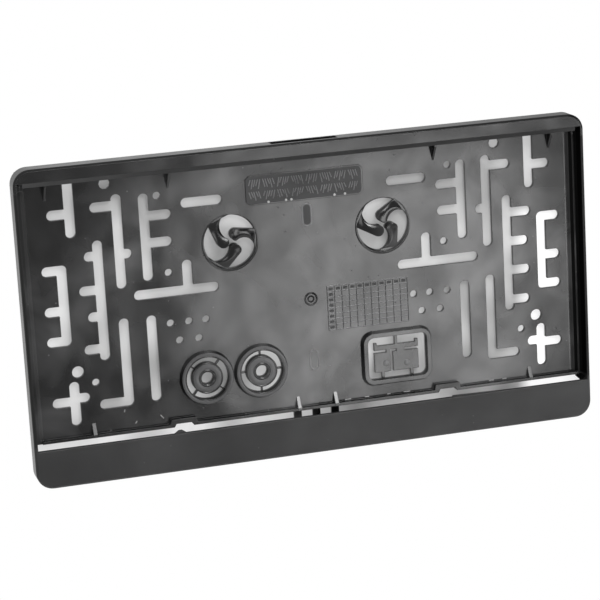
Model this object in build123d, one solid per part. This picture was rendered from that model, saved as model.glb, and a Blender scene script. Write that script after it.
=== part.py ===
from build123d import *
import math
import os

# Moulded number plate holder for a plate of the 12 by 6 inch format. One piece of black plastic:
# a tray with a slotted back panel, a lip along its top and a broad strip along its foot. The
# plate stands in front of the panel, its top edge behind the lip and its foot behind the strip.
# X runs to the right, Z up, and the holder faces -Y. The origin is at the middle of the back.
# Lengths are in millimetres. Names that end in PLACE or LEVEL are percents: a place is a share
# of the pocket's half width, a level a share of the holder's half height, both from the middle.

# The plate and its room
PLATE_WIDTH = 304.8
PLATE_HEIGHT = 152.4
PLATE_THICKNESS = 1.5
PLATE_SIDE_CLEARANCE = 1.6
PLATE_TOP_CLEARANCE = 0.5

# Tray
WALL = 1.8
FRONT_WALL = 1.8
PANEL = 2.2
POCKET_DEPTH = 7.0
CORNER_RADIUS = 9.0
FRONT_EDGE_BEVEL = 1.1

# Front strip along the foot, the through slit above it and the straps that cross the slit
STRIP_HEIGHT = 21.3
STRIP_OVERLAP = 3.4
STRIP_EDGE_RADIUS = 0.8
SLIT_GAP = 2.1
SLIT_WEB = 3.0
STRAP_WIDTH = 4.2
STRAP_SPACING = 10.7

# Lip along the top, its bevelled tongue, and the slot through the top wall behind it
LIP_HEIGHT = 7.1
TONGUE_HEIGHT = 2.4
TONGUE_BEVEL = 0.9
TONGUE_END_GAP = 3.0
TOP_SLOT_LENGTH = 37.0
TOP_SLOT_FRONT_MARGIN = 3.0
TOP_SLOT_BACK_MARGIN = 0.8

# Ledge that frames the panel at the sides and the foot
LEDGE_HEIGHT = 2.0
SIDE_LEDGE_WIDTH = 2.7
FOOT_LEDGE_WIDTH = 1.5

# Two snap notches that the foot ledge steps round, and the peg and wedge on the strip there
NOTCH_PLACE = 49.0
NOTCH_WIDTH = 8.5
NOTCH_FLARE = 1.2
NOTCH_RISE = 1.8
NOTCH_BORDER = 2.6
PEG_PLACE = -51.2
PEG_WIDTH = 4.2
PEG_SHOULDER = 1.2
PEG_HEIGHT = 1.6
WEDGE_PLACE = 49.7
WEDGE_LENGTH = 36.0
WEDGE_HEIGHT = 0.7

# Press ribs that push the plate forward
TOP_RIB_PLACES = (-91.8, -48.8, 47.7, 91.4)
TOP_RIB_WIDTH = 1.1
TOP_RIB_DROP = 9.3
TOP_RIB_RAMP = 8.0
FOOT_RIB_PLACES = (-80.7, -6.6, 7.2, 81.3)
FOOT_RIB_WIDTH = 2.1
FOOT_RIB_LENGTH = 5.9
FOOT_RIB_HEIGHT = 3.3

# Bolt slots and round holes of the panel
SLOT_WIDTH = 5.5
BOLT_PLACE = 57.7
PILOT_HOLE = 4.2
PILOT_SIDES = 10
LIP_HOLE = 6.0
CORNER_HOLE = 6.5

# Swirl bosses: three arms reach into a round opening and keep the plate forward. Turns are in
# degrees, for an arm that hangs from the top of the opening.
SWIRL_PLACE = 27.92
SWIRL_LEVEL = 40.8
SWIRL_RADIUS = 14.5
SWIRL_ARMS = 3
SWIRL_TURNS = (17.0, 57.0)
ARM_INNER_ROOT_TURN = 64.0
ARM_OUTER_ROOT_TURN = 123.0
ARM_INNER_RADIUS = 10.1
ARM_INNER_TURN = 107.5
ARM_REACH = 4.7
ARM_REACH_TURN = 155.6
ARM_TIP_RADIUS = 3.2
ARM_TIP_HEADING = -85.0
ARM_RAMP_START = 13.0
ARM_RAMP_END = -1.5
ARM_PLATE_CLEARANCE = 0.5

# Break-out washers
WASHER_PLACES = (-39.4, -19.6)
WASHER_LEVEL = -44.2
WASHER_BRIDGE_TURNS = (50.0, 0.0)
WASHER_BRIDGES = 4
WASHER_BRIDGE_WIDTH = 0.9
WASHER_RADIUS = 8.7
WASHER_HOLE = 6.7
WASHER_GAP = 3.1
WASHER_RISE = 2.0

# Collars round the washers and the clips, sloped on their outside
COLLAR_FOOT = 3.7
COLLAR_HEIGHT = 3.1
COLLAR_SLOPE = 18.0

# Break-out clips in their window
WINDOW_PLACE = 30.8
WINDOW_LEVEL = -45.7
WINDOW_WIDTH = 34.2
WINDOW_HEIGHT = 24.2
WINDOW_RADIUS = 3.5
CLIP_MARGIN = 4.4
CLIP_BAR_HEIGHT = 2.6
CLIP_BAR_DROP = 5.6
CLIP_HOOK = 1.6
CLIP_GAP = 1.5
CLIP_NECK = 2.2
CLIP_LEFT_WIDTH = 9.2
CLIP_BRIDGE = 1.6

# Label pad
LABEL_LEVEL = 71.1
LABEL_WIDTH = 65.8
LABEL_HEIGHT = 16.2
LABEL_CORNER = 2.0
LABEL_RELIEF = 0.5

# Sizes worked out from those above
pocket_half = PLATE_WIDTH / 2 + PLATE_SIDE_CLEARANCE
inner_half = pocket_half + SIDE_LEDGE_WIDTH
width = 2 * (inner_half + WALL)
height = WALL + PLATE_TOP_CLEARANCE + PLATE_HEIGHT - STRIP_OVERLAP + STRIP_HEIGHT
top = height / 2
inner_top = top - WALL
inner_foot = -top + WALL
strip_top = -top + STRIP_HEIGHT
ledge_foot = strip_top + SLIT_GAP
ledge_top = ledge_foot + FOOT_LEDGE_WIDTH
lip_foot = top - LIP_HEIGHT
tongue_foot = lip_foot - TONGUE_HEIGHT
lip_back = PANEL + POCKET_DEPTH
depth = lip_back + FRONT_WALL
plate_back = lip_back - PLATE_THICKNESS
arm_front = plate_back - ARM_PLATE_CLEARANCE
washer_opening = WASHER_RADIUS + WASHER_GAP
past = 1.0
hair = 0.01
sunk = PANEL / 2


def across(share):
    """Distance from the middle line, as a share in percent of the pocket's half width."""
    return share / 100 * pocket_half


def up(share):
    """Height from the middle, as a share in percent of the holder's half height."""
    return share / 100 * top


def raised(sketch, low, high):
    """Solid of a sketch between two distances in front of the back face."""
    return extrude(Plane.XZ * Pos(0, 0, low) * sketch, high - low)


def bar(x_low, x_high, z_low, z_high):
    """Rectangle between two upright and two level lines."""
    middle = Pos((x_low + x_high) / 2, (z_low + z_high) / 2)
    return middle * Rectangle(x_high - x_low, z_high - z_low)


def outline(*corners):
    """Face with straight sides."""
    return make_face(Polyline(*corners, close=True))


def along_x(profile, length):
    """Prism along X, centred on X = 0, of a profile in distances forward and up."""
    section = outline(*[(0, -forward, z) for forward, z in profile])
    return extrude(section, length / 2, dir=(1, 0, 0), both=True)


def tray():
    """Box with a lip and a strip on its front, open between them and behind the strip."""
    box = raised(RectangleRounded(width, height, CORNER_RADIUS), 0, depth)
    front_rim = box.faces().sort_by(Axis.Y)[0].edges()
    box = chamfer(front_rim, FRONT_EDGE_BEVEL)
    inside = RectangleRounded(2 * inner_half, height - 2 * WALL, CORNER_RADIUS - WALL)
    box -= raised(inside, PANEL, lip_back)
    box -= raised(bar(-inner_half, inner_half, strip_top, lip_foot), lip_back, depth + past)
    behind_strip = inside & bar(-inner_half, inner_half, -top, ledge_foot)
    box -= raised(behind_strip, -past, PANEL)
    strip_edges = box.edges().filter_by(Axis.X)
    strip_edges = strip_edges.filter_by_position(Axis.Z, strip_top - hair, strip_top + hair)
    return fillet(strip_edges.sort_by(Axis.Y)[0], STRIP_EDGE_RADIUS)


def tongue():
    """Bevelled edge that hangs below the lip and leads the plate in behind it."""
    profile = [
        (depth, lip_foot),
        (lip_back, lip_foot),
        (lip_back, tongue_foot),
        (depth - TONGUE_BEVEL, tongue_foot),
    ]
    return along_x(profile, 2 * (inner_half - TONGUE_END_GAP))


def top_slot():
    """Cutter of the slot through the top wall."""
    opening = bar(-TOP_SLOT_LENGTH / 2, TOP_SLOT_LENGTH / 2, inner_top - past, top + past)
    return raised(opening, TOP_SLOT_BACK_MARGIN, depth - TOP_SLOT_FRONT_MARGIN)


def slit_bridges():
    """Three flat straps from the panel's foot to the foot wall, and a web at the right-hand end."""
    strap = bar(-STRAP_WIDTH / 2, STRAP_WIDTH / 2, inner_foot, ledge_foot)
    places = [Pos(step * STRAP_SPACING, 0) * strap for step in (-1, 0, 1)]
    web = outline(
        (inner_half, ledge_foot),
        (inner_half - SLIT_WEB, ledge_foot),
        (inner_half - SLIT_WEB, strip_top),
        (inner_half, strip_top - SLIT_WEB),
    )
    return raised(Sketch() + places + web, 0, PANEL)


def notch(side, border):
    """Trapezoid of one snap notch, widened by a border."""
    x = side * across(NOTCH_PLACE)
    half = NOTCH_WIDTH / 2 + border
    peak = ledge_foot + NOTCH_RISE + border
    return outline(
        (x - half - NOTCH_FLARE, ledge_foot),
        (x + half + NOTCH_FLARE, ledge_foot),
        (x + half, peak),
        (x - half, peak),
    )


def ledge():
    """Raised border of the panel, stepping round the snap notches at its foot."""
    side = bar(pocket_half, inner_half, ledge_foot, top - CORNER_RADIUS)
    foot = bar(-inner_half, inner_half, ledge_foot, ledge_top)
    border = foot + [side, mirror(side, about=Plane.YZ), notch(-1, NOTCH_BORDER), notch(1, NOTCH_BORDER)]
    return raised(border, sunk, PANEL + LEDGE_HEIGHT)


def strip_stops():
    """Peg and long low wedge that stand on the strip's upper edge, one under each notch."""
    root = strip_top - STRIP_EDGE_RADIUS
    x = across(PEG_PLACE)
    half = PEG_WIDTH / 2
    peg = outline(
        (x - half - PEG_SHOULDER, root),
        (x + half + PEG_SHOULDER, root),
        (x + half + PEG_SHOULDER, strip_top),
        (x + half - PEG_SHOULDER, strip_top + PEG_HEIGHT),
        (x - half + PEG_SHOULDER, strip_top + PEG_HEIGHT),
        (x - half - PEG_SHOULDER, strip_top),
    )
    start = across(WEDGE_PLACE)
    wedge = outline(
        (start, root),
        (start + WEDGE_LENGTH, root),
        (start + WEDGE_LENGTH, strip_top),
        (start, strip_top + WEDGE_HEIGHT),
    )
    return raised(peg + wedge, lip_back, depth - STRIP_EDGE_RADIUS)


def ribs():
    """Wedge ribs that press the plate against the back of the lip and of the strip."""
    ramp_foot = tongue_foot - TOP_RIB_DROP
    hanging = [
        (sunk, ramp_foot),
        (PANEL, ramp_foot),
        (plate_back, ramp_foot + TOP_RIB_RAMP),
        (plate_back, inner_top + WALL / 2),
        (sunk, inner_top + WALL / 2),
    ]
    standing = [
        (sunk, ledge_top + FOOT_RIB_LENGTH),
        (PANEL, ledge_top + FOOT_RIB_LENGTH),
        (PANEL + FOOT_RIB_HEIGHT, ledge_top),
        (PANEL + FOOT_RIB_HEIGHT, ledge_foot),
        (sunk, ledge_foot),
    ]
    top_rib = along_x(hanging, TOP_RIB_WIDTH)
    foot_rib = along_x(standing, FOOT_RIB_WIDTH)
    placed = [Pos(across(place), 0, 0) * top_rib for place in TOP_RIB_PLACES]
    return placed + [Pos(across(place), 0, 0) * foot_rib for place in FOOT_RIB_PLACES]


def stroke(x_from, z_from, x_to, z_to):
    """Slot with round ends between two points of its middle line."""
    run = math.hypot(x_to - x_from, z_to - z_from)
    turn = math.degrees(math.atan2(z_to - z_from, x_to - x_from))
    middle = Pos((x_from + x_to) / 2, (z_from + z_to) / 2)
    return middle * SlotCenterToCenter(run, SLOT_WIDTH, rotation=turn)


def upright(place, low, high, arms=()):
    """Upright slot with level arms, each given as its level and the place of its end."""
    x = across(place)
    strokes = [stroke(x, up(low), x, up(high))]
    return strokes + [stroke(x, up(level), across(end), up(level)) for level, end in arms]


def lying(level, start, end):
    """Level slot between two places."""
    return [stroke(across(start), up(level), across(end), up(level))]


def slot_field(bolt_slots, comb_arms, spur_level):
    """Bolt slots of one half of the panel. Lengths of a few differ between the halves."""
    fork_span, plain_span = bolt_slots
    slots = upright(83.6, 56.8, 89.0, [(68.7, 89.7)])
    slots += upright(67.2, 21.6, 74.7, [(70.9, 74.7), (spur_level, 64.7)])
    slots += upright(BOLT_PLACE, *fork_span, [(62.1, 50.0), (45.1, 50.3)])
    slots += upright(BOLT_PLACE, *plain_span)
    slots += upright(74.8, -22.2, 47.3, comb_arms)
    slots += upright(87.8, -10.3, 34.2, [(34.2, 92.9), (8.7, 92.9), (-10.3, 92.9)])
    slots += upright(67.5, -53.2, -3.4, [(-53.2, 76.1)])
    slots += upright(86.5, -61.4, -39.7, [(-49.1, 92.7), (-47.4, 83.0)])
    slots += lying(67.8, 31.7, 42.8)
    slots += lying(13.1, 34.7, 61.4)
    return slots + upright(43.8, 13.1, 29.0)


def hole_field():
    """Round holes of one half of the panel."""
    pilots = [(52.9, 74.3), (50.5, 25.4), (78.8, -38.5)]
    pilots += [(51.0, -6.8), (44.4, -6.8), (38.3, -6.8), (48.1, -18.3), (41.2, -18.3)]
    pilot = RegularPolygon(PILOT_HOLE / 2, PILOT_SIDES)
    holes = [Pos(across(place), up(level)) * pilot for place, level in pilots]
    holes += [Pos(across(70.8), up(85.1)) * RegularPolygon(LIP_HOLE / 2, PILOT_SIDES)]
    return holes + [Pos(across(84.8), up(-30.6)) * Circle(CORNER_HOLE / 2)]


def panel_cuts():
    """All slots and holes of the panel as one cutter."""
    left_arms = [(40.8, 77.9), (19.5, 80.4), (2.7, 78.0), (-17.6, 80.1)]
    right_arms = [(38.9, 82.1), (19.9, 80.8), (0.9, 81.2), (-18.5, 80.8)]
    left = slot_field([(24.6, 73.3), (-52.3, -3.6)], left_arms, 40.1)
    right = slot_field([(28.7, 73.6), (-50.1, -5.2)], right_arms, 43.6)
    openings = Sketch() + right + hole_field()
    openings += mirror(Sketch() + left + hole_field(), about=Plane.YZ)
    return raised(openings, -past, PANEL + past)


def polar(radius, angle):
    """Point of the panel at a radius and an angle."""
    return Vector(radius * math.cos(math.radians(angle)), radius * math.sin(math.radians(angle)))


def swirl_arm():
    """Arm with a flared root and a round tip, ramping forward all the way to its tip."""
    tip = polar(ARM_REACH, ARM_REACH_TURN)
    ahead = polar(ARM_TIP_RADIUS, ARM_TIP_HEADING)
    aside = polar(ARM_TIP_RADIUS, ARM_TIP_HEADING + 90)
    root_radius = SWIRL_RADIUS + sunk
    inner_root = polar(root_radius, ARM_INNER_ROOT_TURN)
    outer_root = polar(root_radius, ARM_OUTER_ROOT_TURN)
    root_middle = polar(root_radius, (ARM_INNER_ROOT_TURN + ARM_OUTER_ROOT_TURN) / 2)
    outer = Line(outer_root, tip - aside)
    end = ThreePointArc(tip - aside, tip + ahead, tip + aside)
    inner = ThreePointArc(tip + aside, polar(ARM_INNER_RADIUS, ARM_INNER_TURN), inner_root)
    root = ThreePointArc(inner_root, root_middle, outer_root)
    ramp = [
        (0, -SWIRL_RADIUS),
        (0, 2 * SWIRL_RADIUS),
        (PANEL, 2 * SWIRL_RADIUS),
        (PANEL, ARM_RAMP_START),
        (arm_front, ARM_RAMP_END),
        (arm_front, -SWIRL_RADIUS),
    ]
    blade = raised(make_face([outer, end, inner, root]), 0, arm_front)
    return blade & along_x(ramp, 4 * SWIRL_RADIUS)


def swirl(turn):
    """Arms of one swirl boss about the origin, turned against the clock."""
    arm = swirl_arm()
    return [Rot(0, -turn - step * 360 / SWIRL_ARMS, 0) * arm for step in range(SWIRL_ARMS)]


def collar(foot):
    """Raised pad with sloped sides, which an opening is cut through."""
    return extrude(Plane.XZ * Pos(0, 0, sunk) * foot, PANEL - sunk + COLLAR_HEIGHT, taper=COLLAR_SLOPE)


def washer(turn):
    """Break-out washer hung in its opening on thin bridges."""
    half = WASHER_BRIDGE_WIDTH / 2
    bridge = bar(WASHER_RADIUS - sunk, washer_opening + sunk, -half, half)
    turns = [turn + step * 360 / WASHER_BRIDGES for step in range(WASHER_BRIDGES)]
    bridges = raised(Sketch() + [Rot(0, 0, angle) * bridge for angle in turns], 0, PANEL)
    return bridges + raised(Circle(WASHER_RADIUS) - Circle(WASHER_HOLE / 2), 0, PANEL + WASHER_RISE)


def clips():
    """Two small clips on a hooked bar, and the bridges that hold them, about the window's middle."""
    half = WINDOW_WIDTH / 2 - CLIP_MARGIN
    bar_top = WINDOW_HEIGHT / 2 - CLIP_BAR_DROP
    bar_foot = bar_top - CLIP_BAR_HEIGHT
    clip_top = bar_foot - CLIP_GAP
    clip_foot = CLIP_MARGIN - CLIP_GAP / 2 - WINDOW_HEIGHT / 2
    split = CLIP_LEFT_WIDTH - half
    hook = bar(half - CLIP_HOOK, half, bar_foot, bar_top + CLIP_HOOK)
    shapes = [bar(-half, half, bar_foot, bar_top), hook, mirror(hook, about=Plane.YZ)]
    shapes += [bar(-half, split, clip_foot, clip_top), bar(split + CLIP_GAP, half, clip_foot, clip_top)]
    shapes += [bar(split - CLIP_NECK, split, clip_top, bar_foot)]
    shapes += [bar(split + CLIP_GAP + CLIP_NECK, split + CLIP_GAP + 3 * CLIP_NECK, clip_top, bar_foot)]
    edge = WINDOW_HEIGHT / 2 + sunk
    shapes += [bar(-CLIP_BRIDGE / 2, CLIP_BRIDGE / 2, bar_top, edge)]
    for x in ((split - half) / 2, (split + 3 * half) / 4):
        shapes.append(bar(x - CLIP_BRIDGE / 2, x + CLIP_BRIDGE / 2, -edge, clip_foot))
    return raised(Sketch() + shapes, 0, PANEL)


def label_pad():
    """Low pad with cut corners under the lip."""
    pad = chamfer(Rectangle(LABEL_WIDTH, LABEL_HEIGHT).vertices(), LABEL_CORNER)
    return raised(Pos(0, up(LABEL_LEVEL)) * pad, sunk, PANEL + LABEL_RELIEF)


def through(opening):
    """Cutter of an opening through the panel."""
    return raised(opening, -past, lip_back)


def plate_holder():
    """The whole moulding."""
    body = tray() + [tongue(), ledge(), slit_bridges(), strip_stops(), label_pad()] + ribs()
    notches = Sketch() + [notch(-1, 0), notch(1, 0)]
    body -= [top_slot(), panel_cuts(), raised(notches, -past, lip_back)]
    for side, turn in zip((-1, 1), SWIRL_TURNS):
        place = Pos(side * across(SWIRL_PLACE), 0, up(SWIRL_LEVEL))
        body -= place * through(Circle(SWIRL_RADIUS))
        body += [place * arm for arm in swirl(turn)]
    for share, turn in zip(WASHER_PLACES, WASHER_BRIDGE_TURNS):
        place = Pos(across(share), 0, up(WASHER_LEVEL))
        body += place * collar(Circle(washer_opening + COLLAR_FOOT))
        body -= place * through(Circle(washer_opening))
        body += place * washer(turn)
    place = Pos(across(WINDOW_PLACE), 0, up(WINDOW_LEVEL))
    foot_size = (WINDOW_WIDTH + 2 * COLLAR_FOOT, WINDOW_HEIGHT + 2 * COLLAR_FOOT)
    body += place * collar(RectangleRounded(*foot_size, WINDOW_RADIUS + COLLAR_FOOT))
    body -= place * through(RectangleRounded(WINDOW_WIDTH, WINDOW_HEIGHT, WINDOW_RADIUS))
    return body + place * clips()


os.makedirs("parts", exist_ok=True)
export_step(plate_holder(), "parts/plate_holder.step")
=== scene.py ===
import bpy
import bmesh
import math
from mathutils import Matrix, Vector


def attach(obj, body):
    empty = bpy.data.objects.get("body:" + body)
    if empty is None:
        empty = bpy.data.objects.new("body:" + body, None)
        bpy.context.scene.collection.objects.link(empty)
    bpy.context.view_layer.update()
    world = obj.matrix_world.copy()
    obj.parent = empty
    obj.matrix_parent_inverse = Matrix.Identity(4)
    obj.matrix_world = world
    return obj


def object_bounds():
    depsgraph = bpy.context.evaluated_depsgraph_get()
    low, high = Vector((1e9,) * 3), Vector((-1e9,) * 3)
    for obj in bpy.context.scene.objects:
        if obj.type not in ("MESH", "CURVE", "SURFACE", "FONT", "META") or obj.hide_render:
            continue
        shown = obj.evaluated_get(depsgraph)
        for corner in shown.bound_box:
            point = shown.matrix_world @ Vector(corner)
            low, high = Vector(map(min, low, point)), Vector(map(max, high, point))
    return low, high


# Looks of the number plate holder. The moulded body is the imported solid, and the fine raised marks
# of its mould stand on it as pieces of their own. Sizes and places are in millimetres to the right,
# forward of the flat back, and up. Turns are in degrees. A comment says where it is otherwise.
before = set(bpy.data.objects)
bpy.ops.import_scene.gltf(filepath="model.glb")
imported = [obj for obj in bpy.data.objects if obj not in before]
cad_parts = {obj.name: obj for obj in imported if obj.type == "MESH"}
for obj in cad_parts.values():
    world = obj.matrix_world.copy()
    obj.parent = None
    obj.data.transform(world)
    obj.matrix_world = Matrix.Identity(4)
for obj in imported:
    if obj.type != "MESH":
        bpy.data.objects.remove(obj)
cad_low, cad_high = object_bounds()
scene = bpy.context.scene
scene.view_settings.view_transform = "Standard"

# Faces of the holder, forward of its back, and how far a piece reaches into the face under it
PANEL_FRONT = 2.2
LABEL_FRONT = 2.7
LEDGE_FRONT = 4.2
WASHER_FRONT = 4.2
COLLAR_FRONT = 5.3
SEAT = 0.1
RIM_FOOT = 0.2

# Sides of the holder, from the middle out
WALL = 1.8
SIDE_LEDGE_WIDTH = 2.7
INNER_HALF = round(1000 * cad_high[0], 3) - WALL
POCKET_HALF = INNER_HALF - SIDE_LEDGE_WIDTH

# Label pad with two rows of slanting hatching, which changes its slant from group to group
LABEL_CENTRE = (-0.4, 61.4)
LABEL_WIDTH = 64.6
LABEL_HEIGHT = 15.0
LABEL_CORNER = 2.4
LABEL_RISE = 0.12
LABEL_EDGE = 0.1
HATCH_ROWS = ((55.8, 60.6), (62.0, 67.2))
HATCH_COUNT = 46
HATCH_GROUP = 6
HATCH_START = -30.6
HATCH_PITCH = 1.33
HATCH_LEAN = 1.1
HATCH_SHORTENING = 1.1
HATCH_STEP_TURN = 2.4  # radians, as is the next
HATCH_ROW_TURN = 1.7
HATCH_WIDTH = 0.62
HATCH_RISE = 0.26

# Small light-grey shapes: round burrs at the label's foot, whose light grey paints their glints, short ribs
# above the foot ledge that are painted glints alone, and short ribs on the panel
LABEL_BURR_GLINTS = (-20.6, -10.8, -7.8, 16.4, 22.4)
LABEL_BURR_LEVEL = 54.4
LABEL_BURR_RADIUS = 0.7
LABEL_BURR_RISE = 0.4
LEDGE_GLINTS = ((16.5, 20.0), (28.0, 30.5), (41.0, 43.0), (50.5, 54.5), (101.0, 104.0), (109.0, 111.5))
LEDGE_GLINT_GAP = 0.6
PANEL_BURRS = (
    ((-101.6, -58.7), (-100.6, -57.4)),
    ((-87.6, -55.8), (-85.9, -57.9)),
    ((-107.3, -51.6), (-106.8, -50.2)),
)
BURR_WIDTH = 0.5
BURR_RISE = 0.25

# Fine table of raised lines, with a block in each cell of its top row and its first column
TABLE_LEFT = 9.5
TABLE_RIGHT = 55.5
TABLE_FOOT = -20.5
TABLE_TOP = 4.0
TABLE_COLUMNS = 11
TABLE_ROWS = 8
TABLE_LINE_WIDTH = 0.7
TABLE_LINE_RISE = 0.1
UPRIGHT_WIDTH = 0.45
UPRIGHT_RISE = 0.2
BLOCK_WIDTH = 2.4
BLOCK_HEIGHT = 1.5
BLOCK_CORNER = 0.3
BLOCK_RISE = 0.12
BLOCK_EDGE = 0.08

# Oblong marks above and below the middle, the field in the upper one, and the gate mark
OBLONG_WIDTH = 4.8
UPPER_OBLONG = {"centre": (0.5, 45.0), "height": 12.0, "line": 1.1, "rise": 0.22}
LOWER_OBLONG = {"centre": (0.3, -36.0), "height": 10.8, "line": 0.9, "rise": 0.14}
OBLONG_STEPS = 12
FIELD_WIDTH = 4.0
FIELD_HEIGHT = 11.2
FIELD_CORNER = 1.95
FIELD_RISE = 0.06
FIELD_EDGE = 0.05
GATE_CENTRE = (0.2, -1.8)
GATE_RINGS = (
    {"radius": 3.3, "count": 40, "width": 1.1, "rise": 0.4},
    {"radius": 1.6, "count": 28, "width": 0.9, "rise": 0.75},
)

# Foot ledge with its two snap notches, and the crest on it, whose near-black paints the dark line along the
# ledge as shade
LEDGE_TOP = -61.4
LEDGE_FOOT = -62.9
LEDGE_REACH = 153.0
NOTCH_PLACE = 75.46
NOTCH_HALF = 4.25
NOTCH_FLARE = 1.2
NOTCH_RISE = 1.8
NOTCH_BORDER = 2.6
CREST_RISE = 1.2

# Cove at the right side of the panel, and a near-black skin of painted shade on the wall above it and on
# its own top
SIDE_FOOT = -62.0
SIDE_TOP = 80.0
COVE_WIDTH = 4.8
COVE_SINK = 0.03
COVE_FOOT = 0.8
COVE_BACK = 1.5
COVE_OVERLAP = 0.2
COVE_STEPS = 16
COVE_SHADED_FROM = 10
SHADE_SKIN_START = 154.9
SHADE_SKIN_RADIUS = 0.9
SHADE_SKIN_FRONT = 10.6
SHADE_SKIN_THICKNESS = 0.12
SHADE_SKIN_EDGE = 0.1
SHADE_SKIN_STEPS = 8

# Swirl bosses with their rolled edges, finer at the top, and the arms that reach into them
SWIRL_CENTRES = (-43.0, 43.0)
SWIRL_LEVEL = 35.21
SWIRL_RADIUS = 14.5
SWIRL_TURNS = (17.0, 57.0)
SWIRL_ARMS = 3
ROLL_GAP = 0.05
ROLL_WIDTH = 2.0
ROLL_RISE = 0.3
ROLL_FOOT = 1.0
ROLL_TOP_SHARE = 0.2
ROLL_STEPS = 84
ARM_ROOT_RADIUS = 15.6
ARM_ROOT_TURNS = (123.0, 64.0)
ARM_INNER = (10.1, 107.5)
ARM_TIP = (4.7, 155.6)
ARM_TIP_RADIUS = 3.2
ARM_TIP_HEADING = -85.0
ARM_RAMP_START = 13.0
ARM_RAMP_END = -1.5
ARM_FRONT = 7.2
ARM_CROWN = 0.6
ARM_TIP_CROWN = 0.42
ARM_SINK = 0.04
ARM_CAP_DEPTH = 0.3
ARM_LENGTH_STEPS = 18
ARM_TIP_STEPS = 8
ARM_CROSS_STEPS = 12

# Break-out washers and their collars, with faces of a lighter grey that paints light on them
WASHER_CENTRES = (-60.68, -30.18)
WASHER_LEVEL = -38.14
WASHER_RIMS = (
    {"radius": 8.2, "count": 56, "width": 0.8, "base": WASHER_FRONT, "rise": 0.2},
    {"radius": 4.2, "count": 40, "width": 1.4, "base": WASHER_FRONT, "rise": 0.5},
    {"radius": 12.2, "count": 64, "width": 0.6, "base": COLLAR_FRONT, "rise": 0.15},
)
WASHER_LIT_FACES = (
    {"radius": 6.3, "count": 56, "width": 2.9, "base": WASHER_FRONT, "rise": 0.1},
    {"radius": 13.35, "count": 72, "width": 1.7, "base": COLLAR_FRONT, "rise": 0.1},
)

# Bosses of the clips
CLIP_BOSSES = ((41.5, -43.0), (53.5, -44.0))
CLIP_BOSS_RADIUS = 1.8
CLIP_BOSS_RISE = 0.6

# Steps of the round forms, the slope of a rib as a share of its width, and the sharpest smooth edge
SWELL_STEPS = 8
CORNER_STEPS = 6
RIB_SLOPE = 0.3
SMOOTH_LIMIT = 40.0

# Noise of the plastic: scale to the metre, detail and distortion
CLOUD = (22.0, 4.0, 0.6)
SMEAR = (48.0, 5.0, 0.4)
WAVE = (17.0, 2.0, 0.0)
GRAIN = (2600.0, 2.0, 0.0)
HAZE_PATCHES = (17.0, 3.0, 0.8)
NOISE_SPAN = (0.3, 0.7)
FALLING = (1.0, 0.0)

# Plastic: roughness about its mean, dust, rounded and worn edges, and the depth of its bumps
PLASTIC_IOR = 1.5
SMEAR_GLOSS = (-0.04, 0.05)
CLOUD_GLOSS = (-0.03, 0.03)
SPECK_SCALE = 330.0
SPECK_EDGE = (0.05, 0.16)
SPECK_RARITY = 0.94
EDGE_RADIUS = 0.35
EDGE_SAMPLES = 6
EDGE_LEAN = (0.995, 0.75)
WEAR_SPAN = (0.4, 0.65)
WEAR_SHARE = (0.08, 0.4)
WORN_COLOUR = (0.16, 0.16, 0.165, 1)
WAVE_STRENGTH = 0.6
WAVE_DEPTH = 2.1
GRAIN_DEPTH = 0.02

# Regions of the body's finish, each the places between which it fades in or out
BEHIND_RIM = (-9.0, -8.4)  # along the frame's Y, which runs to the back
LIP_FADE = (73.0, 75.0)
RAIL_INSIDE = (151.5, 154.6)
RAIL_OUTSIDE = (158.0, 158.4)
RAIL_FOOT = (-64.0, -62.0)
RAIL_TOP = (73.5, 74.5)
CORNER_SIDE = (-116.0, -136.0)
CORNER_FOOT = (8.0, 35.0)
# Strength of the painted shade in the panel's upper left corner
CORNER_SHADE = 0.9
POLISHED_COLOUR = (0.45, 0.45, 0.45, 1)
INSIDE_POLISH = -0.27
LIP_POLISH = -0.26
RAIL_ROUGHNESS = 0.75
# Near-black of the painted shade on the side ledges and in the upper left corner
SHADE_BLACK = (0.002, 0.002, 0.002, 1)
HAZE = (0.075, 0.075, 0.076, 1)
HAZE_SPAN = (0.46, 0.7)

# Floor, in metres, and the card close behind the holder, whose glow to the camera paints uneven light and
# lighter places
WHITE = (1, 1, 1, 1)
MATTE_ROUGHNESS = 0.9
FLOOR_HALF = 4.0
FLOOR_PLACE = (0, 3.4, -0.6)
FLOOR_COLOUR = (0.9, 0.9, 0.9, 1)
FLOOR_IN_GLOSS = 0.4
CARD_HALF_WIDTH = 156
CARD_HALF_HEIGHT = 84
CARD_DISTANCE = 0.4
CARD_COLOUR = (0.26, 0.26, 0.26, 1)
CARD_NOISE = (26.0, 1.0, 0.0)
CARD_NOISE_SPAN = (0.38, 0.62)
CARD_SHADE = (0.16, 0.42)
RIGHT_END = (119.0, 127.0)
RIGHT_END_TOP = (38.0, 30.0)
RIGHT_END_LIGHT = (0.0, 0.5)
LEFT_END = (-110.0, -130.0)
LEFT_END_LIGHT = (0.0, 0.14)
SLIT_HALF = (0.0, -60.0)
SLIT_TOP = (-59.5, -61.0)
SLIT_LIGHT = (0.0, 0.3)
NEAR_RAY = 0.002  # metres

# Studio light by direction: stronger from behind the holder, and faded to the right
STUDIO_DEPTH = (-0.6, 0.3)
STUDIO_LEVEL = (0.38, 0.65)
STUDIO_SIDE = (0.25, 0.6)
STUDIO_FADE = (1.0, 0.06)

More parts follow.
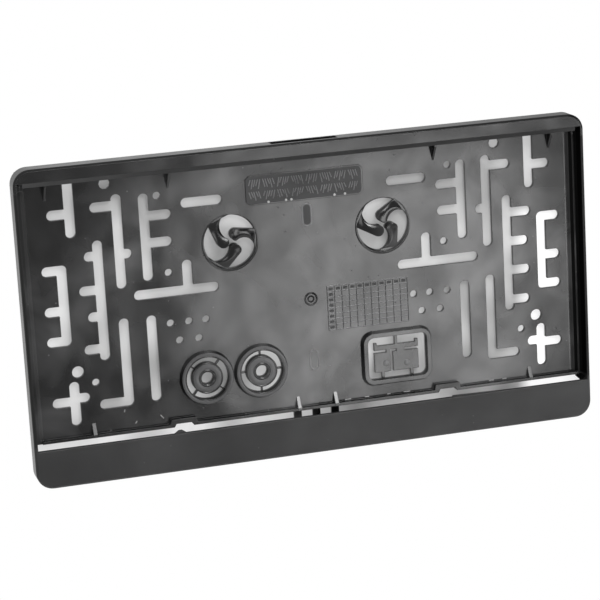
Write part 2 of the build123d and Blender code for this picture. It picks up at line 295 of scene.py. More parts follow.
# Lamps: azimuth from the front to the right and elevation, then distance, width and height in
# metres, and the radiance
SOFTBOXES = {
    "mirror_box": (19.4, -12.0, 1.3, 0.375, 0.33, 5.3),
    "right_box": (50, -4, 1.3, 0.4, 0.6, 5.0),
    "top_box": (18, 46, 1.6, 0.9, 0.7, 5.0),
    "rib_box": (21, 40, 1.6, 0.2, 0.5, 14.0),
    "low_box": (-8, -46, 1.3, 0.5, 0.5, 2.5),
    "low_right_box": (36, -52, 1.3, 0.4, 0.4, 2.0),
    "left_box": (-45, 12, 1.8, 0.6, 0.8, 2.5),
}

# Camera as in the photograph, its place in metres and its focal length in the photograph's pixels
IMAGE_WIDTH = 600
FOCAL_PIXELS = 2432.1
SENSOR_WIDTH = 36.0
CAMERA_PLACE = (-0.34886, -1.24143, 0.30188)
CAMERA_AHEAD = (0.25952, 0.93801, -0.22974)
CAMERA_RIGHT = (0.95881, -0.2787, -0.05483)


def metres(x, forward, z):
    """Point in metres from millimetres to the right, forward of the back, and up."""
    return Vector((x / 1000, -forward / 1000, z / 1000))


def in_metres(span):
    return tuple(value / 1000 for value in span)


# Materials


class Shading:
    """Short ways to add, set and link the nodes of a material or a world."""

    def __init__(self, owner):
        owner.use_nodes = True
        self.tree = owner.node_tree

    def add(self, kind, **values):
        made = self.tree.nodes.new(kind)
        for key, value in values.items():
            setattr(made, key, value)
        return made

    def feed(self, socket, value):
        """Socket linked to an output, or set to a number or a colour."""
        if isinstance(value, bpy.types.NodeSocket):
            self.tree.links.new(value, socket)
        else:
            socket.default_value = value

    def split(self, vector):
        """The three parts of a vector."""
        made = self.add("ShaderNodeSeparateXYZ")
        self.feed(made.inputs[0], vector)
        return tuple(made.outputs)

    def noise(self, where, scale, detail, distortion):
        made = self.add("ShaderNodeTexNoise")
        self.feed(made.inputs["Vector"], where)
        self.feed(made.inputs["Scale"], scale)
        self.feed(made.inputs["Detail"], detail)
        self.feed(made.inputs["Distortion"], distortion)
        return made.outputs["Fac"]

    def ramp(self, value, span, result=(0.0, 1.0)):
        """Value mapped from one span to another, held at the ends."""
        made = self.add("ShaderNodeMapRange")
        self.feed(made.inputs["Value"], value)
        for key, number in zip(("From Min", "From Max", "To Min", "To Max"), (*span, *result)):
            self.feed(made.inputs[key], number)
        return made.outputs["Result"]

    def combine(self, kind, first, second, **values):
        """Sum, difference or other combination of two values, each a number or an output."""
        made = self.add("ShaderNodeMath", operation=kind, **values)
        self.feed(made.inputs[0], first)
        self.feed(made.inputs[1], second)
        return made.outputs[0]

    def product(self, first, *others):
        for other in others:
            first = self.combine("MULTIPLY", first, other)
        return first

    def mix(self, first, second, factor, **values):
        """Colour or number between two others."""
        made = self.add("ShaderNodeMix", **values)
        self.feed(made.inputs["A"], first)
        self.feed(made.inputs["B"], second)
        self.feed(made.inputs["Factor"], factor)
        return made.outputs["Result"]

    def tint(self, first, second, factor, blend="MIX"):
        return self.mix(first, second, factor, data_type="RGBA", blend_type=blend)

    def bump(self, height, strength, depth, normal):
        """Normal with bumps of a depth in millimetres."""
        made = self.add("ShaderNodeBump")
        self.feed(made.inputs["Strength"], strength)
        self.feed(made.inputs["Distance"], depth / 1000)
        self.feed(made.inputs["Height"], height)
        self.feed(made.inputs["Normal"], normal)
        return made.outputs["Normal"]

    def surface(self, factor, first, second):
        """Material that goes from one shader to another."""
        made = self.add("ShaderNodeMixShader")
        for socket, value in zip(made.inputs, (factor, first, second)):
            self.feed(socket, value)
        self.feed(self.tree.nodes["Material Output"].inputs["Surface"], made.outputs[0])


def dust_specks(nodes, where, dust):
    """Small round specks in a few cells of a pattern."""
    cells = nodes.add("ShaderNodeTexVoronoi")
    nodes.feed(cells.inputs["Vector"], where)
    nodes.feed(cells.inputs["Scale"], SPECK_SCALE)
    pick = nodes.add("ShaderNodeSeparateColor")
    nodes.feed(pick.inputs["Color"], cells.outputs["Color"])
    near = nodes.ramp(cells.outputs["Distance"], SPECK_EDGE, FALLING)
    chosen = nodes.combine("GREATER_THAN", pick.outputs["Red"], SPECK_RARITY)
    return nodes.product(near, chosen, dust)


def soft_edges(nodes, smear):
    """Normal that rounds the edges, and how worn they are."""
    soft = nodes.add("ShaderNodeBevel", samples=EDGE_SAMPLES)
    nodes.feed(soft.inputs["Radius"], EDGE_RADIUS / 1000)
    face = nodes.add("ShaderNodeNewGeometry")
    lean = nodes.add("ShaderNodeVectorMath", operation="DOT_PRODUCT")
    nodes.feed(lean.inputs[0], soft.outputs["Normal"])
    nodes.feed(lean.inputs[1], face.outputs["Normal"])
    edge = nodes.ramp(lean.outputs["Value"], EDGE_LEAN)
    worn = nodes.product(edge, nodes.ramp(smear, WEAR_SPAN, WEAR_SHARE))
    return soft.outputs["Normal"], worn


def body_finish(nodes, where, colour, gloss):
    """Finish of the body's regions: polished behind the front rim and on the lip, dull and painted
    near-black as shade on the side ledges, painted dark as shade in the panel's upper left corner, and hazy
    in patches behind the rim."""
    x, y, z = nodes.split(where)
    behind = nodes.ramp(y, in_metres(BEHIND_RIM))
    lip = nodes.ramp(z, in_metres(LIP_FADE))
    colour = nodes.tint(colour, POLISHED_COLOUR, nodes.combine("MAXIMUM", behind, lip), "MULTIPLY")
    outside = nodes.combine("SUBTRACT", 1.0, behind)
    gloss = nodes.combine("ADD", gloss, nodes.product(behind, INSIDE_POLISH))
    gloss = nodes.combine("ADD", gloss, nodes.product(lip, outside, LIP_POLISH))

    across = nodes.combine("ABSOLUTE", x, 0.0)
    rail_width = nodes.product(nodes.ramp(across, in_metres(RAIL_INSIDE)),
                               nodes.ramp(across, in_metres(RAIL_OUTSIDE), FALLING))
    rail_height = nodes.product(nodes.ramp(z, in_metres(RAIL_FOOT)),
                                nodes.ramp(z, in_metres(RAIL_TOP), FALLING))
    rail = nodes.product(rail_width, rail_height)
    gloss = nodes.mix(gloss, RAIL_ROUGHNESS, rail)

    # Painted shade: near-black on the side ledges and walls, and dark in the upper left corner
    corner = nodes.product(nodes.ramp(x, in_metres(CORNER_SIDE), (0.0, CORNER_SHADE)),
                           nodes.ramp(z, in_metres(CORNER_FOOT)), behind)
    colour = nodes.tint(colour, SHADE_BLACK, nodes.combine("MAXIMUM", rail, corner))
    patches = nodes.ramp(nodes.noise(where, *HAZE_PATCHES), HAZE_SPAN)
    clean = nodes.combine("SUBTRACT", 1.0, corner)
    colour = nodes.tint(colour, HAZE, nodes.product(patches, behind, clean))
    return colour, gloss


def plastic(name, dark, light, rough, grain, dust, body=False, specular=0.5):
    """Moulded plastic: cloudy colour and gloss, fine grain, soft edges, sparse dust and worn edges.
    The body's own plastic has the finish of its regions too."""
    material = bpy.data.materials.new(name)
    nodes = Shading(material)
    shader = nodes.tree.nodes["Principled BSDF"]
    shader.inputs["IOR"].default_value = PLASTIC_IOR
    shader.inputs["Specular IOR Level"].default_value = specular
    where = nodes.add("ShaderNodeTexCoord").outputs["Object"]
    cloud = nodes.noise(where, *CLOUD)
    smear = nodes.noise(where, *SMEAR)
    colour = nodes.tint((*dark, 1), (*light, 1), nodes.ramp(cloud, NOISE_SPAN))
    smear_gloss = [rough + change for change in SMEAR_GLOSS]
    gloss = nodes.combine("ADD", nodes.ramp(smear, NOISE_SPAN, smear_gloss),
                          nodes.ramp(cloud, NOISE_SPAN, CLOUD_GLOSS))
    if body:
        colour, gloss = body_finish(nodes, where, colour, gloss)
    speck = dust_specks(nodes, where, dust)
    normal, worn = soft_edges(nodes, smear)
    colour = nodes.tint(colour, WORN_COLOUR, nodes.combine("MAXIMUM", speck, worn))
    normal = nodes.bump(nodes.noise(where, *WAVE), WAVE_STRENGTH, WAVE_DEPTH, normal)
    normal = nodes.bump(nodes.noise(where, *GRAIN), grain, GRAIN_DEPTH, normal)
    nodes.feed(shader.inputs["Base Color"], colour)
    nodes.feed(shader.inputs["Roughness"], nodes.combine("ADD", gloss, speck))
    nodes.feed(shader.inputs["Normal"], normal)
    return material


black = plastic("black_plastic", dark=(0.006, 0.006, 0.0063), light=(0.026, 0.026, 0.0265),
                rough=0.46, grain=0.5, dust=0.5, body=True)
# Light grey on the raised marks, painted highlights of their edges
mark_highlight_grey = plastic("mark_painted_highlight_plastic", dark=(0.12, 0.12, 0.122), light=(0.19, 0.19, 0.193),
                     rough=0.3, grain=0.4, dust=0.3)
pad_black = plastic("pad_plastic", dark=(0.022, 0.022, 0.0225), light=(0.042, 0.042, 0.043),
                    rough=0.5, grain=0.9, dust=0.8)
# Lighter grey on the washers' and collars' faces, painted light
washer_lit_grey = plastic("washer_painted_light_plastic", dark=(0.05, 0.05, 0.051), light=(0.1, 0.1, 0.102),
                      rough=0.36, grain=0.5, dust=0.4)
# Near-black, darker than the body, painted shade on the foot ledge's crest
crest_shade_black = plastic("crest_painted_shade_plastic", dark=(0.002, 0.002, 0.002), light=(0.005, 0.005, 0.005),
                      rough=0.22, grain=0.4, dust=0.3)
# Near-black with little gloss, painted shade on the right ledge and wall
shade_lining_black = plastic("painted_shade_lining_plastic", dark=(0.001, 0.001, 0.001), light=(0.002, 0.002, 0.002),
                       rough=0.6, grain=0.3, dust=0.1, specular=0.06)
# Light grey that paints glints, on the burrs at the label's foot and the ribs above the foot ledge; the
# short ribs on the panel share it
burr_glint_grey = plastic("burr_painted_glint_plastic", dark=(0.4, 0.4, 0.4), light=(0.6, 0.6, 0.6),
                    rough=0.4, grain=0.4, dust=0.2)


# Objects


def mesh_object(name, mesh, material):
    data = bpy.data.meshes.new(name)
    mesh.to_mesh(data)
    mesh.free()
    data.materials.append(material)
    made = bpy.data.objects.new(name, data)
    scene.collection.objects.link(made)
    return made


def piece(name, mesh, material, smooth=False):
    """Piece of a finished mesh that rides on the holder. A smooth one keeps its sharper edges crisp."""
    bmesh.ops.recalc_face_normals(mesh, faces=mesh.faces)
    made = mesh_object(name, mesh, material)
    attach(made, "root")
    if smooth:
        for face in made.data.polygons:
            face.use_smooth = True
        made.data.set_sharp_from_angle(angle=math.radians(SMOOTH_LIMIT))


# Forms


def ring_path(x, z, radius, count):
    """Closed round path, as points with their outward direction."""
    path = []
    for step in range(count):
        turn = 2 * math.pi * step / count
        out_x = math.cos(turn)
        out_z = math.sin(turn)
        path.append((x + radius * out_x, z + radius * out_z, out_x, out_z))
    return path


def oblong_path(x, z, width, height, count):
    """Closed upright path with round ends, as points with their outward direction."""
    radius = width / 2
    rise = height / 2 - radius
    path = []
    for centre, start in ((z + rise, 0.0), (z - rise, math.pi)):
        for step in range(count + 1):
            turn = start + math.pi * step / count
            out_x = math.cos(turn)
            out_z = math.sin(turn)
            path.append((x + radius * out_x, centre + radius * out_z, out_x, out_z))
    return path


def level_loop(mesh, points, forward):
    """Corners of a closed loop at one height, from points across and up."""
    return [mesh.verts.new(metres(x, forward, z)) for x, z in points]


def bridge(mesh, loops, closed=False):
    """Faces from each loop to the next, and from the last to the first where the row of loops is closed."""
    following = loops[1:] + loops[:1] if closed else loops[1:]
    for low, high in zip(loops, following):
        for index in range(len(low)):
            after = (index + 1) % len(low)
            mesh.faces.new((low[index], low[after], high[after], high[index]))


def capped(mesh, loops):
    """Closed body of a row of loops."""
    bridge(mesh, loops)
    mesh.faces.new(loops[0][::-1])
    mesh.faces.new(loops[-1])


def swell(start, width, base, rise, foot):
    """Section of a low rounded ridge, as points aside and forward."""
    section = [(start, base - foot)]
    for step in range(SWELL_STEPS + 1):
        share = step / SWELL_STEPS
        section.append((start + width * share, base + rise * math.sin(math.pi * share) ** 2))
    section.append((start + width, base - foot))
    return section


def sweep(mesh, path, sections):
    """Closed body along a closed path, with a section for each of its points."""
    loops = []
    for (x, z, out_x, out_z), section in zip(path, sections):
        loop = []
        for aside, forward in section:
            loop.append(mesh.verts.new(metres(x + aside * out_x, forward, z + aside * out_z)))
        loops.append(loop)
    bridge(mesh, loops, closed=True)


def rim(mesh, path, width, base, rise):
    """Low rounded rim along a closed path."""
    section = swell(-width / 2, width, base, rise, RIM_FOOT)
    sweep(mesh, path, [section] * len(path))


def rolled_edge(mesh, x, z, radius):
    """Rounded edge outside a round opening, broad at the foot and fine at the top."""
    path = ring_path(x, z, radius, ROLL_STEPS)
    sections = []
    for _, _, _, out_z in path:
        share = ROLL_TOP_SHARE + (1 - ROLL_TOP_SHARE) * (1 - out_z) / 2
        sections.append(swell(0.0, ROLL_WIDTH * share, PANEL_FRONT, ROLL_RISE * share, ROLL_FOOT))
    sweep(mesh, path, sections)


def dome(mesh, x, z, radius, base, rise, count=28, steps=6):
    """Round boss with a crowned top."""
    levels = [(radius, base - SEAT)]
    for step in range(steps):
        turn = math.pi / 2 * step / steps
        levels.append((radius * math.cos(turn), base + rise * math.sin(turn)))
    loops = []
    for size, forward in levels:
        points = [spot[:2] for spot in ring_path(x, z, size, count)]
        loops.append(level_loop(mesh, points, forward))
    bridge(mesh, loops)
    crown = mesh.verts.new(metres(x, base + rise, z))
    for index in range(count):
        mesh.faces.new((loops[-1][index], loops[-1][(index + 1) % count], crown))
    mesh.faces.new(loops[0][::-1])


def rib(mesh, start, end, width, base, rise):
    """Straight low rib with sloped sides and ends."""
    start = Vector(start)
    end = Vector(end)
    along = (end - start).normalized()
    aside = Vector((-along.y, along.x))
    loops = []
    for inset, forward in ((0.0, base - SEAT), (0.0, base), (RIB_SLOPE * width, base + rise)):
        first = start + along * inset
        last = end - along * inset
        half = aside * (width / 2 - inset)
        loops.append(level_loop(mesh, (first + half, first - half, last - half, last + half), forward))
    capped(mesh, loops)


def plate(mesh, centre, width, height, corner, base, rise, edge):
    """Flat plate with rounded corners and a sloped edge."""
    x, z = centre
    loops = []
    for inset, forward in ((0.0, base - SEAT), (0.0, base + rise - edge), (edge, base + rise)):
        radius = corner - inset
        points = []
        for side_x, side_z, start in ((1, 1, 0), (-1, 1, 90), (-1, -1, 180), (1, -1, 270)):
            for step in range(CORNER_STEPS + 1):
                turn = math.radians(start + 90 * step / CORNER_STEPS)
                points.append((x + side_x * (width / 2 - corner) + radius * math.cos(turn),
                               z + side_z * (height / 2 - corner) + radius * math.sin(turn)))
        loops.append(level_loop(mesh, points, forward))
    capped(mesh, loops)


def polar(radius, turn):
    return Vector((radius * math.cos(math.radians(turn)), radius * math.sin(math.radians(turn))))


def arc_through(start, middle, end, count):
    """Points along the arc through three points."""
    near = middle - start
    far = end - start
    scale = 2 * (near.x * far.y - near.y * far.x)
    centre = start + Vector((far.y * near.length_squared - near.y * far.length_squared,
                             near.x * far.length_squared - far.x * near.length_squared)) / scale
    first = start - centre
    last = end - centre
    first_turn = math.atan2(first.y, first.x)
    whole_turn = math.atan2(last.y, last.x) - first_turn
    if abs(whole_turn) > math.pi:
        whole_turn -= math.copysign(2 * math.pi, whole_turn)
    points = []
    for step in range(count + 1):
        turn = first_turn + whole_turn * step / count
        points.append(centre + Vector((math.cos(turn), math.sin(turn))) * first.length)
    return points


# Pieces, each sub-part in its own function


def label():
    """Dull plate with plain slanting hatching in two rows, the hatching light grey as painted highlights.
    """
    mesh = bmesh.new()
    plate(mesh, LABEL_CENTRE, LABEL_WIDTH, LABEL_HEIGHT, LABEL_CORNER, LABEL_FRONT, LABEL_RISE, LABEL_EDGE)
    piece("label_plate", mesh, pad_black)
    mesh = bmesh.new()
    for row, (low, high) in enumerate(HATCH_ROWS):
        for step in range(HATCH_COUNT):
            x = HATCH_START + HATCH_PITCH * step
            group, place = divmod(step, HATCH_GROUP)
            lean = HATCH_LEAN if (group + row) % 2 else -HATCH_LEAN
            short = HATCH_SHORTENING * (1 + math.sin(HATCH_STEP_TURN * step + HATCH_ROW_TURN * row))
            if place < HATCH_GROUP - 1:
                rib(mesh, (x - lean / 2, low + short), (x + lean / 2, high),
                    HATCH_WIDTH, LABEL_FRONT + LABEL_RISE, HATCH_RISE)
    piece("label_hatching", mesh, mark_highlight_grey)


def burrs_and_painted_glints():
    """Small light-grey burrs and ribs, the grey a painted glint; the ribs above the foot ledge are painted
    glints alone.
    """
    mesh = bmesh.new()
    for x in LABEL_BURR_GLINTS:
        dome(mesh, x, LABEL_BURR_LEVEL, LABEL_BURR_RADIUS, LABEL_FRONT + LABEL_RISE, LABEL_BURR_RISE,
             count=16, steps=4)
    level = LEDGE_TOP + LEDGE_GLINT_GAP
    for start, end in LEDGE_GLINTS:
        rib(mesh, (start, level), (end, level), BURR_WIDTH, PANEL_FRONT, BURR_RISE)
    for start, end in PANEL_BURRS:
        rib(mesh, start, end, BURR_WIDTH, PANEL_FRONT, BURR_RISE)
    piece("burrs_and_painted_glints", mesh, burr_glint_grey, smooth=True)


def date_table():
    """Fine table of raised lines with plain blocks; the level lines are light grey as painted highlights.
    """
    cell_width = (TABLE_RIGHT - TABLE_LEFT) / TABLE_COLUMNS
    cell_height = (TABLE_TOP - TABLE_FOOT) / TABLE_ROWS
    mesh = bmesh.new()
    for step in range(TABLE_ROWS + 1):
        z = TABLE_FOOT + cell_height * step
        rib(mesh, (TABLE_LEFT, z), (TABLE_RIGHT, z), TABLE_LINE_WIDTH, PANEL_FRONT, TABLE_LINE_RISE)
    piece("date_table", mesh, mark_highlight_grey)
    mesh = bmesh.new()
    for step in range(TABLE_COLUMNS + 1):
        x = TABLE_LEFT + cell_width * step
        rib(mesh, (x, TABLE_FOOT), (x, TABLE_TOP), UPRIGHT_WIDTH, PANEL_FRONT, UPRIGHT_RISE)
    cells = [(column, 0) for column in range(TABLE_COLUMNS)]
    cells += [(0, row) for row in range(1, TABLE_ROWS)]
    for column, row in cells:
        centre = (TABLE_LEFT + cell_width * (column + 0.5), TABLE_TOP - cell_height * (row + 0.5))
        plate(mesh, centre, BLOCK_WIDTH, BLOCK_HEIGHT, BLOCK_CORNER, PANEL_FRONT, BLOCK_RISE, BLOCK_EDGE)
    piece("table_uprights", mesh, pad_black)


def panel_marks():
    """Oblong marks above and below the middle, their rims light grey as painted highlights, and the gate
    mark.
    """
    mesh = bmesh.new()
    for mark in (UPPER_OBLONG, LOWER_OBLONG):
        path = oblong_path(*mark["centre"], OBLONG_WIDTH, mark["height"], OBLONG_STEPS)
        rim(mesh, path, mark["line"], PANEL_FRONT, mark["rise"])
    piece("oblong_marks", mesh, mark_highlight_grey, smooth=True)
    mesh = bmesh.new()
    plate(mesh, UPPER_OBLONG["centre"], FIELD_WIDTH, FIELD_HEIGHT, FIELD_CORNER, PANEL_FRONT,
          FIELD_RISE, FIELD_EDGE)
    piece("oblong_field", mesh, pad_black)
    mesh = bmesh.new()
    for ring in GATE_RINGS:
        path = ring_path(*GATE_CENTRE, ring["radius"], ring["count"])
        rim(mesh, path, ring["width"], PANEL_FRONT, ring["rise"])
    piece("gate_mark", mesh, black, smooth=True)


def ledge_shade_crest():
    """Crest on the foot ledge, which steps round the two snap notches as the ledge does; its near-black
    plastic paints shade along the ledge.
    """
    reach = NOTCH_HALF + NOTCH_BORDER
    peak = LEDGE_FOOT + NOTCH_RISE
    foot = reach + NOTCH_FLARE * (1 - (LEDGE_TOP - LEDGE_FOOT) / (NOTCH_RISE + NOTCH_BORDER))
    upper = [(-LEDGE_REACH, LEDGE_TOP)]
    lower = [(-LEDGE_REACH, LEDGE_FOOT)]
    for middle in (-NOTCH_PLACE, NOTCH_PLACE):
        upper += [(middle - foot, LEDGE_TOP), (middle - reach, peak + NOTCH_BORDER)]
        upper += [(middle + reach, peak + NOTCH_BORDER), (middle + foot, LEDGE_TOP)]
        lower += [(middle - NOTCH_HALF - NOTCH_FLARE, LEDGE_FOOT), (middle - NOTCH_HALF, peak)]
        lower += [(middle + NOTCH_HALF, peak), (middle + NOTCH_HALF + NOTCH_FLARE, LEDGE_FOOT)]
    upper.append((LEDGE_REACH, LEDGE_TOP))
    lower.append((LEDGE_REACH, LEDGE_FOOT))
    outline = upper + lower[::-1]
    mesh = bmesh.new()
    capped(mesh, [level_loop(mesh, outline, forward)
                  for forward in (LEDGE_FRONT - SEAT, LEDGE_FRONT + CREST_RISE)])
    piece("ledge_shade_crest", mesh, crest_shade_black)


def upright_bar(mesh, section):
    """Upright bar along the right wall, its section given as points across and forward."""
    loops = []
    for z in (SIDE_FOOT, SIDE_TOP):
        loops.append([mesh.verts.new(metres(across, forward, z)) for across, forward in section])
    capped(mesh, loops)


def cove_arc(offset, first_step):
    """Points across and forward along the cove's hollow face, moved out of it by an offset."""
    rise = LEDGE_FRONT - PANEL_FRONT + COVE_SINK
    whole_turn = 2 * math.atan2(rise, COVE_WIDTH)
    radius = COVE_WIDTH / math.sin(whole_turn)
    centre = Vector((POCKET_HALF - COVE_WIDTH, PANEL_FRONT - COVE_SINK + radius))
    points = []
    for step in range(first_step, COVE_STEPS + 1):
        turn = whole_turn * step / COVE_STEPS
        points.append(centre + Vector((math.sin(turn), -math.cos(turn))) * (radius - offset))
    return points


def right_cove():
    """Cove between the panel and the right ledge, its foot buried in the panel."""
    start = POCKET_HALF - COVE_WIDTH - COVE_FOOT
    end = POCKET_HALF + COVE_OVERLAP
    back = PANEL_FRONT - COVE_BACK
    section = cove_arc(0.0, 0)
    section += [(end, LEDGE_FRONT - SEAT), (end, back), (start, back), (start, PANEL_FRONT - SEAT)]
    mesh = bmesh.new()
    upright_bar(mesh, section)
    piece("right_cove", mesh, black, smooth=True)


def right_wall_shade_skin():
    """Near-black dull skin of painted shade on the right ledge and wall, with a hollow between them, and on
    the top of the cove.
    """
    ledge_face = LEDGE_FRONT + SHADE_SKIN_THICKNESS
    wall_face = INNER_HALF - SHADE_SKIN_THICKNESS
    behind = INNER_HALF + SEAT
    section = [(SHADE_SKIN_START, LEDGE_FRONT - SEAT), (SHADE_SKIN_START, LEDGE_FRONT)]
    section.append((SHADE_SKIN_START + SHADE_SKIN_EDGE, ledge_face))
    for step in range(SHADE_SKIN_STEPS + 1):
        turn = math.pi / 2 * step / SHADE_SKIN_STEPS
        section.append((wall_face - SHADE_SKIN_RADIUS * (1 - math.sin(turn)),
                        ledge_face + SHADE_SKIN_RADIUS * (1 - math.cos(turn))))
    section += [(wall_face, SHADE_SKIN_FRONT - SHADE_SKIN_EDGE), (INNER_HALF, SHADE_SKIN_FRONT)]
    section += [(behind, SHADE_SKIN_FRONT), (behind, LEDGE_FRONT - SEAT)]
    mesh = bmesh.new()
    upright_bar(mesh, section)
    half = SHADE_SKIN_THICKNESS / 2
    upright_bar(mesh, cove_arc(half, COVE_SHADED_FROM) + cove_arc(-half, COVE_SHADED_FROM)[::-1])
    piece("right_wall_shade_skin", mesh, shade_lining_black, smooth=True)


def arm_rows():
    """Crowned face of one arm, as rows of points with the ramp's height and the crown's rise there."""
    tip = polar(*ARM_TIP)
    ahead = polar(ARM_TIP_RADIUS, ARM_TIP_HEADING)
    aside = polar(ARM_TIP_RADIUS, ARM_TIP_HEADING + 90)
    outer_root, inner_root = [polar(ARM_ROOT_RADIUS, turn) for turn in ARM_ROOT_TURNS]
    inner = arc_through(inner_root, polar(*ARM_INNER), tip + aside, ARM_LENGTH_STEPS)
    spans = []
    for step in range(ARM_LENGTH_STEPS + 1):
        share = step / ARM_LENGTH_STEPS
        crown = ARM_CROWN * (1 - (1 - 2 * share) ** 2) + ARM_TIP_CROWN * share ** 2
        spans.append((outer_root.lerp(tip - aside, share), inner[step], crown))
    for step in range(1, ARM_TIP_STEPS):
        turn = math.pi / 2 * step / ARM_TIP_STEPS
        middle = tip + ahead * math.sin(turn)
        half = aside * math.cos(turn)
        spans.append((middle - half, middle + half, ARM_TIP_CROWN * math.cos(turn)))
    rows = []
    for left, right, crown in spans:
        row = []
        for step in range(ARM_CROSS_STEPS + 1):
            share = step / ARM_CROSS_STEPS
            point = left.lerp(right, share)
            climb = (ARM_RAMP_START - point.y) / (ARM_RAMP_START - ARM_RAMP_END)
            ramp = PANEL_FRONT + (ARM_FRONT - PANEL_FRONT) * min(max(climb, 0.0), 1.0)
            row.append((point, ramp - ARM_SINK, crown * 4 * share * (1 - share)))
        rows.append(row)
    return rows


def arm_cap(mesh, x, z, turn):
    """Rounded face that lies on one arm's ramp."""
    spin = Matrix.Rotation(math.radians(turn), 2)
    top = []
    under = []
    for row in arm_rows():
        top.append([])
        under.append([])
        for point, ramp, rise in row:
            place = spin @ point
            top[-1].append(mesh.verts.new(metres(x + place.x, ramp + rise, z + place.y)))
            under[-1].append(mesh.verts.new(metres(x + place.x, ramp - ARM_CAP_DEPTH, z + place.y)))
    rows = len(top)
    columns = len(top[0])
    for sheet in (top, under):
        for here, there in zip(sheet, sheet[1:]):
            for column in range(columns - 1):
                mesh.faces.new((here[column], here[column + 1], there[column + 1], there[column]))
    border = [(0, column) for column in range(columns)]
    border += [(row, columns - 1) for row in range(1, rows)]
    border += [(rows - 1, column) for column in range(columns - 2, -1, -1)]
    border += [(row, 0) for row in range(rows - 2, 0, -1)]
    bridge(mesh, [[sheet[row][column] for row, column in border] for sheet in (top, under)])


def swirls():
    """Rolled edges of the two swirl openings, and the rounded faces of their arms."""
    edges = bmesh.new()
    faces = bmesh.new()
    for x, turn in zip(SWIRL_CENTRES, SWIRL_TURNS):
        rolled_edge(edges, x, SWIRL_LEVEL, SWIRL_RADIUS + ROLL_GAP)
        for arm in range(SWIRL_ARMS):
            arm_cap(faces, x, SWIRL_LEVEL, turn + 360 / SWIRL_ARMS * arm)
    piece("swirl_rims", edges, black, smooth=True)
    piece("swirl_arm_faces", faces, black, smooth=True)


def washers():
    """Rounded rims on the washers and their collars, and low crowned faces in a lighter grey that paints
    light.
    """
    for name, rings, material in (("washer_rims", WASHER_RIMS, black),
                                  ("washer_painted_light_faces", WASHER_LIT_FACES, washer_lit_grey)):
        mesh = bmesh.new()
        for x in WASHER_CENTRES:
            for ring in rings:
                path = ring_path(x, WASHER_LEVEL, ring["radius"], ring["count"])
                rim(mesh, path, ring["width"], ring["base"], ring["rise"])
        piece(name, mesh, material, smooth=True)


def clip_bosses():
    """Round bosses of the clips, light grey as painted highlights."""
    mesh = bmesh.new()
    for x, z in CLIP_BOSSES:
        dome(mesh, x, z, CLIP_BOSS_RADIUS, PANEL_FRONT, CLIP_BOSS_RISE)
    piece("clip_bosses", mesh, mark_highlight_grey, smooth=True)


label()
burrs_and_painted_glints()
date_table()
panel_marks()
ledge_shade_crest()
right_cove()
right_wall_shade_skin()
swirls()
washers()
clip_bosses()
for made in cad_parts.values():
    made.data.materials.clear()
    made.data.materials.append(black)


# Stage


def matte_material(name, colour):
    """Dull material to start from, as its nodes and its shader."""
    material = bpy.data.materials.new(name)
    nodes = Shading(material)
    shader = nodes.tree.nodes["Principled BSDF"]
    shader.inputs["Base Color"].default_value = colour
    shader.inputs["Roughness"].default_value = MATTE_ROUGHNESS
    return material, nodes, shader


def stage_floor():
    """Pale floor, white to the camera and light grey in the holder's gloss."""
    material, nodes, matte = matte_material("pale_floor", FLOOR_COLOUR)
    ray = nodes.add("ShaderNodeLightPath").outputs
    glow = nodes.add("ShaderNodeEmission")
    glow.inputs["Color"].default_value = WHITE
    in_gloss = nodes.product(ray["Is Glossy Ray"], FLOOR_IN_GLOSS)
    shown = nodes.combine("MAXIMUM", ray["Is Camera Ray"], in_gloss)
    nodes.surface(shown, matte.outputs[0], glow.outputs[0])
    mesh = bmesh.new()
    bmesh.ops.create_grid(mesh, x_segments=1, y_segments=1, size=FLOOR_HALF)
    floor = mesh_object("floor", mesh, material)
    floor.location = FLOOR_PLACE


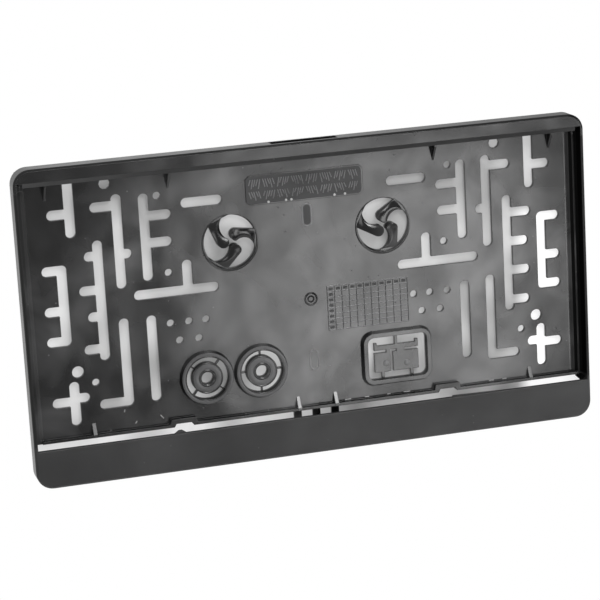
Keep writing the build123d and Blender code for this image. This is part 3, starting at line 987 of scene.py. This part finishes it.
def stage_card():
    """Pale card close behind the holder, which its openings show. Its glow to the camera paints uneven
    light, with painted light at the lower right end, at the left end and along the left half of the slit.
    From behind it is clear."""
    material, nodes, matte = matte_material("card_paper", CARD_COLOUR)
    matte.inputs["Emission Color"].default_value = WHITE
    ray = nodes.add("ShaderNodeLightPath").outputs
    where = nodes.add("ShaderNodeTexCoord").outputs["Object"]
    x, _, z = nodes.split(where)
    shade = nodes.ramp(nodes.noise(where, *CARD_NOISE), CARD_NOISE_SPAN, CARD_SHADE)
    right_end = nodes.product(nodes.ramp(x, in_metres(RIGHT_END), RIGHT_END_LIGHT),
                              nodes.ramp(z, in_metres(RIGHT_END_TOP)))
    left_end = nodes.ramp(x, in_metres(LEFT_END), LEFT_END_LIGHT)
    slit = nodes.product(nodes.ramp(x, in_metres(SLIT_HALF), SLIT_LIGHT),
                         nodes.ramp(z, in_metres(SLIT_TOP)))
    for light in (right_end, left_end, slit):
        shade = nodes.combine("ADD", shade, light)
    # Painted light: glow for camera rays alone, uneven and stronger at three places
    nodes.feed(matte.inputs["Emission Strength"], nodes.product(ray["Is Camera Ray"], shade))
    far = nodes.combine("GREATER_THAN", ray["Ray Length"], NEAR_RAY)
    mirrored = nodes.product(ray["Is Glossy Ray"], far)
    shown = nodes.combine("MAXIMUM", ray["Is Camera Ray"], mirrored)
    back = nodes.add("ShaderNodeNewGeometry").outputs["Backfacing"]
    shown = nodes.combine("SUBTRACT", shown, back, use_clamp=True)
    clear = nodes.add("ShaderNodeBsdfTransparent")
    nodes.surface(shown, clear.outputs[0], matte.outputs[0])
    mesh = bmesh.new()
    corners = []
    for side_x, side_z in ((-1, -1), (1, -1), (1, 1), (-1, 1)):
        corners.append((side_x * CARD_HALF_WIDTH, side_z * CARD_HALF_HEIGHT))
    mesh.faces.new(level_loop(mesh, corners, -CARD_DISTANCE))
    card = mesh_object("card", mesh, material)


def studio():
    """Surroundings: white to the camera, and soft light on the holder."""
    world = bpy.data.worlds.new("studio")
    scene.world = world
    nodes = Shading(world)
    back = nodes.tree.nodes["Background"]
    back.inputs["Color"].default_value = WHITE
    side, depth, _ = nodes.split(nodes.add("ShaderNodeTexCoord").outputs["Generated"])
    level = nodes.product(nodes.ramp(depth, STUDIO_DEPTH, STUDIO_LEVEL),
                          nodes.ramp(side, STUDIO_SIDE, STUDIO_FADE))
    ray = nodes.add("ShaderNodeLightPath").outputs
    nodes.feed(back.inputs["Strength"], nodes.combine("MAXIMUM", ray["Is Camera Ray"], level))


def softbox(name, azimuth, elevation, distance, width, height, radiance):
    """Area lamp that faces the holder."""
    turn = math.radians(azimuth)
    rise = math.radians(elevation)
    outward = Vector((math.sin(turn) * math.cos(rise), -math.cos(turn) * math.cos(rise), math.sin(rise)))
    lamp = bpy.data.lights.new(name, "AREA")
    lamp.shape = "RECTANGLE"
    lamp.size = width
    lamp.size_y = height
    lamp.energy = radiance * math.pi * width * height
    made = bpy.data.objects.new(name, lamp)
    made.location = outward * distance
    made.rotation_euler = (-outward).to_track_quat("-Z", "Y").to_euler()
    scene.collection.objects.link(made)


def photo_camera():
    """Camera at the photograph's viewing angle."""
    lens = bpy.data.cameras.new("camera")
    lens.sensor_width = SENSOR_WIDTH
    lens.lens = FOCAL_PIXELS * SENSOR_WIDTH / IMAGE_WIDTH
    ahead = Vector(CAMERA_AHEAD).normalized()
    right = Vector(CAMERA_RIGHT)
    right = (right - ahead * right.dot(ahead)).normalized()
    above = right.cross(ahead)
    turned = Matrix((right, above, -ahead)).transposed().to_4x4()
    camera = bpy.data.objects.new("camera", lens)
    camera.matrix_world = Matrix.Translation(CAMERA_PLACE) @ turned
    scene.collection.objects.link(camera)
    scene.camera = camera


stage_floor()
stage_card()
studio()
for name, values in SOFTBOXES.items():
    softbox(name, *values)
photo_camera()

bpy.context.view_layer.update()
